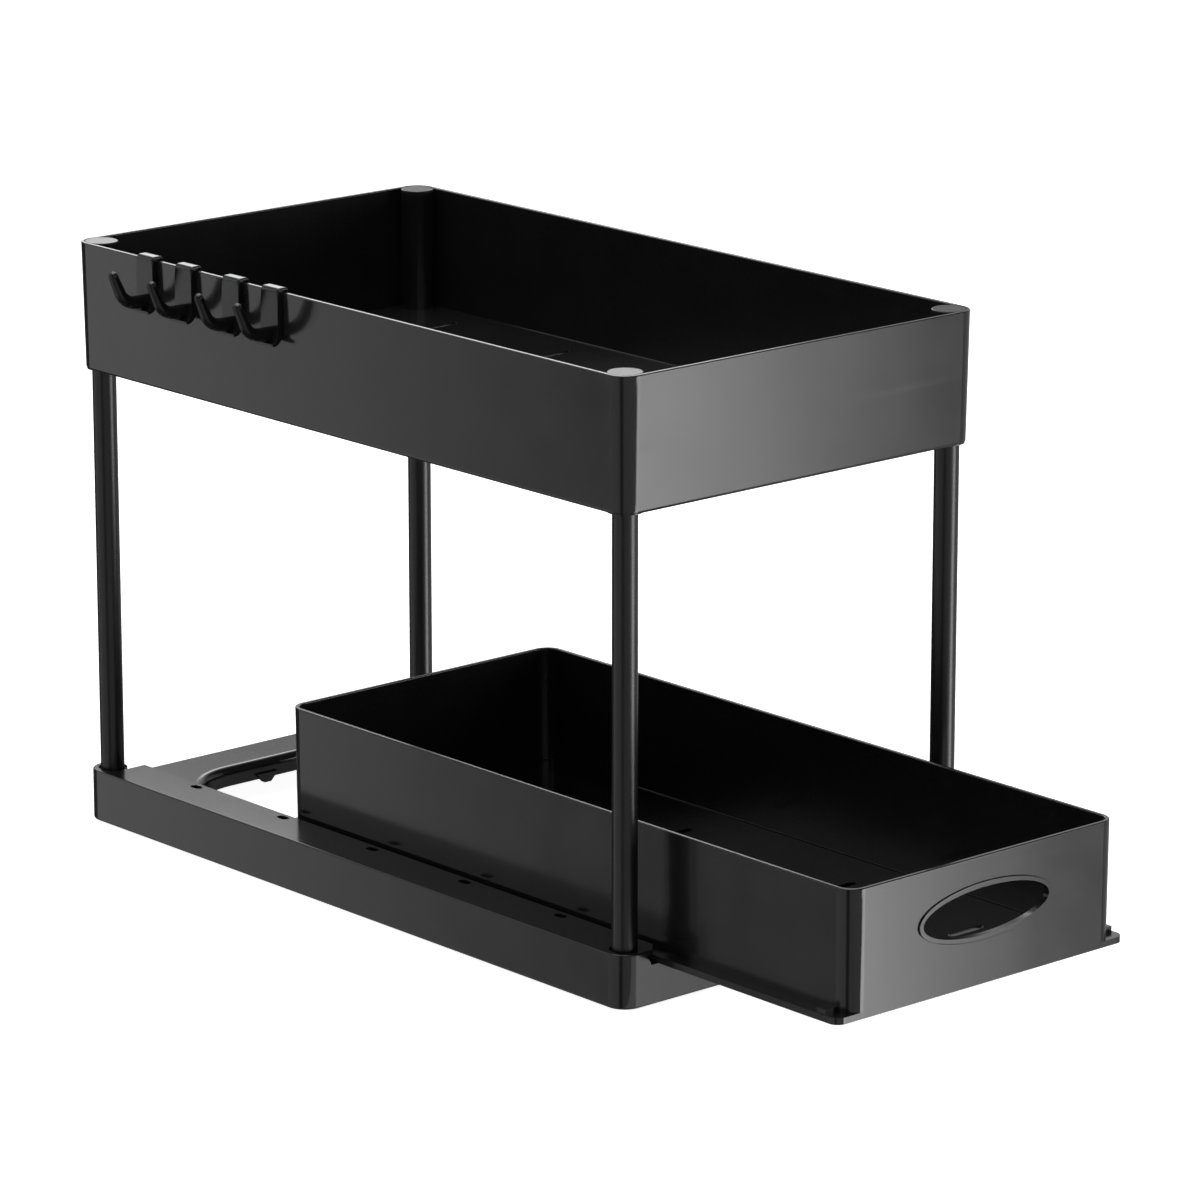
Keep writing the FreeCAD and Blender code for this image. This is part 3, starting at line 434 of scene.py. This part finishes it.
def new_piece(name: str, shape: Shape, crisp: float) -> bpy.types.Object:
    """Turn a finished bmesh into an object at the origin.

    Args:
        name: the piece's name.
        shape: the bmesh, which is freed.
        crisp: edges that turn by more than this many degrees stay crisp.

    Returns:
        The object, linked to the scene.
    """
    mesh = bpy.data.meshes.new(name)
    shape.to_mesh(mesh)
    shape.free()
    mesh.shade_smooth()
    mesh.set_sharp_from_angle(angle=math.radians(crisp))
    piece = bpy.data.objects.new(name, mesh)
    bpy.context.scene.collection.objects.link(piece)
    return piece


@dataclass
class RimHook:
    """A hook that hangs over the tray's left rim: a strap with a curled foot and a round arm."""

    number: int
    gap: float = 0.3 * MM
    strap: float = 2.6 * MM
    leg: float = 1.4 * MM
    wall: float = 2.2 * MM
    leg_drop: float = 10 * MM
    shoulder_round: float = 2.0 * MM
    inner_round: float = 2.0 * MM
    corner_round: float = 1.8 * MM
    turn_drop: float = 19.4 * MM
    curl_drop: float = 23.8 * MM
    curl_reach: float = 5.9 * MM
    tip_thickness: float = 1.1 * MM
    edge_round: float = 0.5 * MM
    touching: float = 0.005 * MM
    arm_drop: float = 19.2 * MM
    arm_straight: float = 8.4 * MM
    arm_bend: float = 9.5 * MM
    arm_rise: float = 9.0 * MM
    arm_root: float = 3.1 * MM
    arm_tip: float = 2.2 * MM
    arm_start: float = 0.6
    arm_lean: float = math.radians(66)
    crisp: float = 40
    arm_sides: int = 24
    bend_steps: int = 12
    tip_steps: int = 6
    curl_steps: int = 8
    round_steps: int = 8
    corner_steps: int = 5
    edge_steps: int = 3

    def __post_init__(self) -> None:
        """Read the hook's place from its node and the tray's."""
        self.node = f"hook_{self.number}"
        low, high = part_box(self.node)
        tray_low, tray_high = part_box("upper_tray")
        self.near, self.far = low.y, high.y
        self.face, self.rim = tray_low.x, tray_high.z

    def build(self) -> bpy.types.Object:
        """Model the hook.

        Returns:
            The piece, which stands for the hook's node.
        """
        shape = bmesh.new()
        self._strap(shape)
        self._arm(shape)
        bmesh.ops.dissolve_degenerate(shape, dist=self.touching, edges=shape.edges)
        bmesh.ops.recalc_face_normals(shape, faces=shape.faces)
        piece = new_piece(f"{self.node}_moulding", shape, self.crisp)
        piece.modifiers.new("flat_faces", "WEIGHTED_NORMAL").keep_sharp = True
        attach(piece, self.node)
        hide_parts(self.node)
        return piece

    def _spot(self, out: float, up: float) -> Vector:
        """Return a place in the strap's near side, out from the wall and up from the rim."""
        return Vector((self.face - out, self.near, self.rim + up))

    def _curl(self, shape: Shape, start: Vert, end: Vector) -> Vert:
        """Spin a vertex along the arc that leaves an upright face and passes through a place.

        Args:
            shape: the bmesh that the arc goes into.
            start: where the arc leaves the upright face.
            end: where it ends, out from the wall and below the start.

        Returns:
            The arc's last vertex.
        """
        out, down = start.co.x - end.x, start.co.z - end.z
        radius = (out * out + down * down) / (2 * out)
        turn = math.atan2(down, radius - out)
        centre = start.co - Vector((radius, 0, 0))
        spun = bmesh.ops.spin(
            shape, geom=[start], cent=centre, axis=(0, 1, 0), angle=turn, steps=self.curl_steps,
        )
        return next(item for item in spun["geom_last"] if isinstance(item, Vert))

    def _strap(self, shape: Shape) -> None:
        """Draw the strap's side outline, extrude it along the rim and round its edges.

        Args:
            shape: the bmesh that the strap goes into.
        """
        inner = -(self.wall + self.gap)
        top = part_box(self.node)[1].z - self.rim
        outer = self.gap + self.strap
        places = [
            (outer, -self.turn_drop),
            (outer, top),
            (inner - self.leg, top),
            (inner - self.leg, -self.leg_drop),
            (inner, -self.leg_drop),
            (inner, self.gap),
            (self.gap, self.gap),
            (self.gap, -self.turn_drop),
        ]
        corners = [shape.verts.new(self._spot(*place)) for place in places]
        shoulder, crook = corners[1], corners[2]
        for first, second in zip(corners, corners[1:]):
            shape.edges.new((first, second))
        tip = self._spot(self.curl_reach, -self.curl_drop)
        lift = Vector((0, 0, self.tip_thickness / 2))
        last_outer = self._curl(shape, corners[0], tip + lift)
        last_inner = self._curl(shape, corners[-1], tip - lift)
        shape.edges.new((last_outer, last_inner))
        bmesh.ops.contextual_create(shape, geom=list(shape.edges))
        for corner, radius in ((shoulder, self.shoulder_round), (crook, self.inner_round)):
            bmesh.ops.bevel(
                shape, geom=[corner], offset=radius, offset_type="OFFSET", affect="VERTICES",
                segments=self.round_steps, profile=0.5, material=-1,
            )
        grown = bmesh.ops.extrude_face_region(shape, geom=list(shape.faces))
        moved = [item for item in grown["geom"] if isinstance(item, Vert)]
        bmesh.ops.translate(shape, verts=moved, vec=(0, self.far - self.near, 0))
        self._round_top(shape)
        self._round_sides(shape)

    def _in_outline(self, edge: bmesh.types.BMEdge) -> bool:
        """Tell whether an edge runs along the side outline and not across the strap."""
        return abs(edge.verts[0].co.y - edge.verts[1].co.y) < self.touching

    def _round_top(self, shape: Shape) -> None:
        """Round the two ends of the strap where it passes over the rim.

        The throat's roof and the strap's outer face beside it stay as they are.

        Args:
            shape: the bmesh that holds the strap.
        """
        low = max(vert.co.z for vert in shape.verts) - self.inner_round - self.touching
        roof = self.rim + self.gap
        throat = roof + self.touching
        outside = self.face - self.wall
        chosen = [
            edge for edge in shape.edges
            if self._in_outline(edge)
            and min(vert.co.z for vert in edge.verts) > low
            and not all(vert.co.z < throat and vert.co.x < outside for vert in edge.verts)
            and not all(abs(vert.co.z - roof) < self.touching for vert in edge.verts)
        ]
        bmesh.ops.bevel(
            shape, geom=chosen, offset=self.corner_round, offset_type="OFFSET", affect="EDGES",
            segments=self.corner_steps, profile=0.5, material=-1, clamp_overlap=True,
        )

    def _round_sides(self, shape: Shape) -> None:
        """Round the crisp edges that are left on the strap's two sides.

        Args:
            shape: the bmesh that holds the strap.
        """
        sides = (self.near, self.far)
        chosen = [
            edge for edge in shape.edges
            if self._in_outline(edge)
            and min(abs(edge.verts[0].co.y - side) for side in sides) < self.touching
            and edge.is_manifold and edge.calc_face_angle() > math.radians(self.crisp)
        ]
        bmesh.ops.bevel(
            shape, geom=chosen, offset=self.edge_round, offset_type="OFFSET", affect="EDGES",
            segments=self.edge_steps, profile=0.5, material=-1, clamp_overlap=True,
        )

    def _arm(self, shape: Shape) -> None:
        """Grow the arm ring by ring: out of the strap, round its bend and up to a round tip.

        Args:
            shape: the bmesh that the arm goes into.
        """
        middle = (self.near + self.far) / 2
        height = self.rim - self.arm_drop
        start = Vector((self.face - self.gap - self.strap * self.arm_start, middle, height))
        made = bmesh.ops.create_circle(
            shape, cap_ends=True, segments=self.arm_sides, radius=self.arm_root,
            matrix=Matrix.Translation(start) @ Matrix.Rotation(math.pi / 2, 4, "Y"),
        )
        bend_x = self.face - self.arm_straight
        ring = self._grow(shape, made["verts"], Vector((bend_x - start.x, 0, 0)), 1.0)
        centre = Vector((bend_x, middle, height + self.arm_bend))
        turn = Matrix.Rotation(self.arm_lean / self.bend_steps, 3, "Y")
        bend_end = (self.arm_root + self.arm_tip) / 2
        bend_taper = (bend_end / self.arm_root) ** (1 / self.bend_steps)
        for _ in range(self.bend_steps):
            ring = self._grow(shape, ring, Vector(), bend_taper)
            bmesh.ops.rotate(shape, verts=ring, cent=centre, matrix=turn)
        heading = Vector((-math.cos(self.arm_lean), 0, math.sin(self.arm_lean)))
        ring = self._grow(shape, ring, heading * self.arm_rise, self.arm_tip / bend_end)
        quarter = math.pi / 2 / self.tip_steps
        for step in range(1, self.tip_steps):
            rise = self.arm_tip * (math.sin(step * quarter) - math.sin((step - 1) * quarter))
            shrink = math.cos(step * quarter) / math.cos((step - 1) * quarter)
            ring = self._grow(shape, ring, heading * rise, shrink)
        bmesh.ops.contextual_create(shape, geom=ring)

    def _grow(self, shape: Shape, ring: list[Vert], step: Vector, scale: float) -> list[Vert]:
        """Extrude a ring of the arm.

        Args:
            shape: the bmesh that holds the arm.
            ring: the arm's last ring of vertices.
            step: how far the new ring moves.
            scale: how much wider the new ring is than the last.

        Returns:
            The new ring's vertices.
        """
        edges = {
            edge for vert in ring for edge in vert.link_edges if edge.other_vert(vert) in ring
        }
        grown = bmesh.ops.extrude_edge_only(shape, edges=list(edges))
        fresh = [item for item in grown["geom"] if isinstance(item, Vert)]
        centre = sum((vert.co for vert in fresh), Vector()) / len(fresh)
        bmesh.ops.scale(
            shape, verts=fresh, vec=(scale, scale, scale), space=Matrix.Translation(-centre),
        )
        bmesh.ops.translate(shape, verts=fresh, vec=step)
        return fresh


@dataclass
class UpperTier:
    """The upper tray, the caps in its corners and the hooks on its rim."""

    hook_count: int = 4

    def build(self, workshop: Workshop) -> None:
        """Model the hooks and dress the tier.

        Args:
            workshop: where the finishes' materials come from.
        """
        workshop.dress_node("upper_tray", TRAY_FINISH)
        for corner in Corner:
            workshop.dress_node(f"post_cap_{corner.value}", CAP_FINISH)
        for number in range(1, self.hook_count + 1):
            piece = RimHook(number).build()
            piece.data.materials.append(workshop.material(HOOK_FINISH))
            LOG.info("built %s", piece.name)


@dataclass
class LowerTier:
    """The base with its foot pads, the posts and the pull-out drawer."""

    def build(self, workshop: Workshop) -> None:
        """Dress the tier.

        Args:
            workshop: where the finishes' materials come from.
        """
        workshop.dress_node("base_frame", BASE_FINISH)
        workshop.dress_node("drawer", DRAWER_FINISH)
        for corner in Corner:
            workshop.dress_node(f"post_{corner.value}", POST_FINISH)
            workshop.dress_node(f"foot_pad_{corner.value}", PAD_FINISH)


@dataclass(frozen=True)
class Softbox:
    """A soft rectangular lamp; its roll, about the way it faces, is degrees."""

    name: str
    place: Place
    aim: Place
    width: float
    height: float
    watts: float
    roll: float = 0.0

    def build(self) -> None:
        """Hang the lamp, facing its aim and hidden from the camera."""
        lamp = bpy.data.lights.new(self.name, "AREA")
        lamp.shape = "RECTANGLE"
        lamp.size, lamp.size_y = self.width, self.height
        lamp.energy = self.watts
        made = bpy.data.objects.new(self.name, lamp)
        made.location = self.place
        made.rotation_euler = facing(self.place, self.aim, self.roll)
        made.visible_camera = False
        bpy.context.scene.collection.objects.link(made)


@dataclass(frozen=True)
class Window:
    """A bright panel of the surround, far away, with soft edges; angles are degrees."""

    name: str
    bearing: float
    half_width: float
    strength: float
    softness: float
    lowest: float = -50.0
    highest: float = 30.0

    def build(self, sky: Wiring, bearing: Socket, rise: Socket) -> Socket:
        """Add the panel to the surround's nodes.

        Args:
            sky: the surround that the panel shines in.
            bearing: a direction's angle from the organizer's rear, anticlockwise from above.
            rise: a direction's angle above level.

        Returns:
            The panel's radiance in that direction.
        """
        turn = sky.math("SUBTRACT", bearing, math.radians(self.bearing))
        off = sky.math("ABSOLUTE", sky.math("WRAP", turn, math.pi, -math.pi))
        soft = math.radians(self.softness)
        side = math.radians(self.half_width)
        low, high = math.radians(self.lowest), math.radians(self.highest)
        across = sky.ramp(off, side + soft, side - soft, Slope.SMOOTH)
        above = sky.ramp(rise, low - soft, low + soft, Slope.SMOOTH)
        below = sky.ramp(rise, high + soft, high - soft, Slope.SMOOTH)
        shape = sky.math("MULTIPLY", across, sky.math("MULTIPLY", above, below))
        return sky.math("MULTIPLY", shape, self.strength)


class Sky(Wiring):
    """The surround: white to the camera, a dim room with bright panels to everything else."""

    def __init__(self, room: float, windows: list[Window]) -> None:
        """Build the surround's world.

        Args:
            room: radiance of the room between the panels.
            windows: the bright panels.
        """
        world = bpy.data.worlds.new("studio_surround")
        bpy.context.scene.world = world
        world.use_nodes = True
        super().__init__(world.node_tree)
        glow = self.tree.nodes["Background"]
        glow.inputs["Color"].default_value = grey(1.0)
        split = self.add("ShaderNodeSeparateXYZ")
        self.join(self.add("ShaderNodeTexCoord").outputs["Generated"], split.inputs["Vector"])
        left = self.math("MULTIPLY", split.outputs["X"], -1.0)
        bearing = self.math("ARCTAN2", left, split.outputs["Y"])
        rise = self.math("ARCSINE", split.outputs["Z"])
        total: Socket | float = room
        for window in windows:
            total = self.math("ADD", total, window.build(self, bearing, rise))
        rays = self.add("ShaderNodeLightPath")
        seen = self.add("ShaderNodeMix")
        seen.inputs["B"].default_value = 1.0
        self.join(rays.outputs["Is Camera Ray"], seen.inputs["Factor"])
        self.feed(total, seen.inputs["A"])
        self.join(seen.outputs["Result"], glow.inputs["Strength"])


@dataclass
class Studio:
    """The pale floor and surround, the lamps and the camera."""

    floor_side: float = 8.0
    floor_tone: float = 0.80
    floor_roughness: float = 0.9
    floor_gloss: float = 0.1
    floor_lift: float = 0.95
    floor_clear: float = 0.20
    floor_step: float = 0.05 * MM
    floor_crisp: float = 30
    room: float = 0.06
    windows: list[Window] = field(default_factory=lambda: [
        Window("rear_left_card", 33.8, 5.2, strength=1.18, softness=1.0, highest=25.0),
        Window("rear_high", -10.0, 60.0, strength=0.52, softness=1.5, lowest=14.5, highest=55.0),
        Window("left_side", 76.6, 32.8, strength=0.52, softness=3.0),
        Window("camera_side", 160.0, 32.0, strength=0.38, softness=4.0),
        Window("right_side", -85.0, 42.5, strength=0.40, softness=1.5),
    ])
    camera_place: Place = (-1.74217, -2.04176, 0.84501)
    camera_aim: Place = (0.00467, -0.05443, 0.13911)
    lens: float = 179.56
    sensor: float = 36.0
    lamps: list[Softbox] = field(default_factory=lambda: [
        Softbox(
            "overhead", (-0.1, 0.2, 1.7), (0.0, -0.05, 0.15),
            width=1.4, height=1.4, watts=22.0,
        ),
        Softbox(
            "front_right", (2.55, -4.30, -1.2), (0.0, 0.0, 0.0),
            width=1.96, height=6.0, watts=238.0,
        ),
        Softbox(
            "rear_right", (0.669, 1.137, 0.885), (-0.188, 0.159, 0.290),
            width=0.70, height=0.74, watts=4.9, roll=-14.5,
        ),
    ])

    def build(self) -> None:
        """Build everything round the object."""
        self._floor()
        Sky(self.room, self.windows)
        self._camera()
        for lamp in self.lamps:
            lamp.build()
        bpy.context.scene.view_settings.view_transform = "Standard"

    def _floor(self) -> None:
        """Lay a pale floor, lifted to white for the camera under its soft shadow.

        The wide floor is kept out of reflections; the two small patches show in them.
        """
        pale = self._pale("pale_floor", False)
        thin = self._pale("pale_floor_front", True)
        low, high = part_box("base_frame")
        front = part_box("drawer")[0].y
        half = self.floor_side / 2
        floor = self._patch("floor", pale, (-half, half), (-half, half), 0.0)
        floor.visible_glossy = False
        floor.visible_shadow = False
        across, step = (low.x, high.x), self.floor_step
        self._patch("floor_under_base", pale, across, (low.y, high.y), step)
        self._patch("floor_under_drawer", thin, across, (front, low.y), step)

    def _patch(
        self, name: str, look: bpy.types.Material, across: Span, along: Span, height: float
    ) -> bpy.types.Object:
        """Lay one flat rectangle of the floor.

        Args:
            name: the rectangle's name.
            look: its material.
            across: where it starts and ends from left to right.
            along: where it starts and ends from front to rear.
            height: how far it lies above the floor's level.

        Returns:
            The rectangle.
        """
        shape = bmesh.new()
        spread = Matrix.Diagonal((across[1] - across[0], along[1] - along[0], 1.0, 1.0))
        bmesh.ops.create_grid(shape, x_segments=1, y_segments=1, size=0.5, matrix=spread)
        middle = Vector((sum(across) / 2, sum(along) / 2, height))
        bmesh.ops.translate(shape, verts=shape.verts, vec=middle)
        patch = new_piece(name, shape, self.floor_crisp)
        patch.data.materials.append(look)
        return patch

    def _pale(self, name: str, mirrored: bool) -> bpy.types.Material:
        """Make the floor's material.

        Args:
            name: the material's name.
            mirrored: whether reflections see it lifted too, and a little of what lies beyond it.

        Returns:
            The material.
        """
        made = bpy.data.materials.new(name)
        made.use_nodes = True
        wiring = Wiring(made.node_tree)
        shader = made.node_tree.nodes["Principled BSDF"]
        shader.inputs["Base Color"].default_value = grey(self.floor_tone)
        shader.inputs["Roughness"].default_value = self.floor_roughness
        shader.inputs["Specular IOR Level"].default_value = self.floor_gloss
        rays = wiring.add("ShaderNodeLightPath").outputs
        seen = rays["Is Camera Ray"]
        if mirrored:
            seen = wiring.math("MAXIMUM", seen, rays["Is Glossy Ray"])
        glow = wiring.add("ShaderNodeEmission")
        wiring.join(wiring.math("MULTIPLY", seen, self.floor_lift), glow.inputs["Strength"])
        both = wiring.add("ShaderNodeAddShader")
        wiring.join(shader.outputs[0], both.inputs[0])
        wiring.join(glow.outputs[0], both.inputs[1])
        surface = both.outputs[0]
        if mirrored:
            clear = wiring.add("ShaderNodeBsdfTransparent")
            mix = wiring.add("ShaderNodeMixShader")
            mix.inputs["Fac"].default_value = self.floor_clear
            wiring.join(surface, mix.inputs[1])
            wiring.join(clear.outputs[0], mix.inputs[2])
            surface = mix.outputs[0]
        wiring.join(surface, made.node_tree.nodes["Material Output"].inputs["Surface"])
        return made

    def _camera(self) -> None:
        """Stand the camera where the photograph was taken from."""
        data = bpy.data.cameras.new("camera")
        data.sensor_width = self.sensor
        data.lens = self.lens
        camera = bpy.data.objects.new("camera", data)
        camera.location = self.camera_place
        camera.rotation_euler = facing(self.camera_place, self.camera_aim)
        bpy.context.scene.collection.objects.link(camera)
        bpy.context.scene.camera = camera


def main() -> None:
    """Build the organizer's tiers and the studio round them."""
    logging.basicConfig(level=logging.INFO, format="%(name)s: %(message)s")
    workshop = Workshop()
    UpperTier().build(workshop)
    LowerTier().build(workshop)
    Studio().build()


if __name__ == "__main__":
    main()
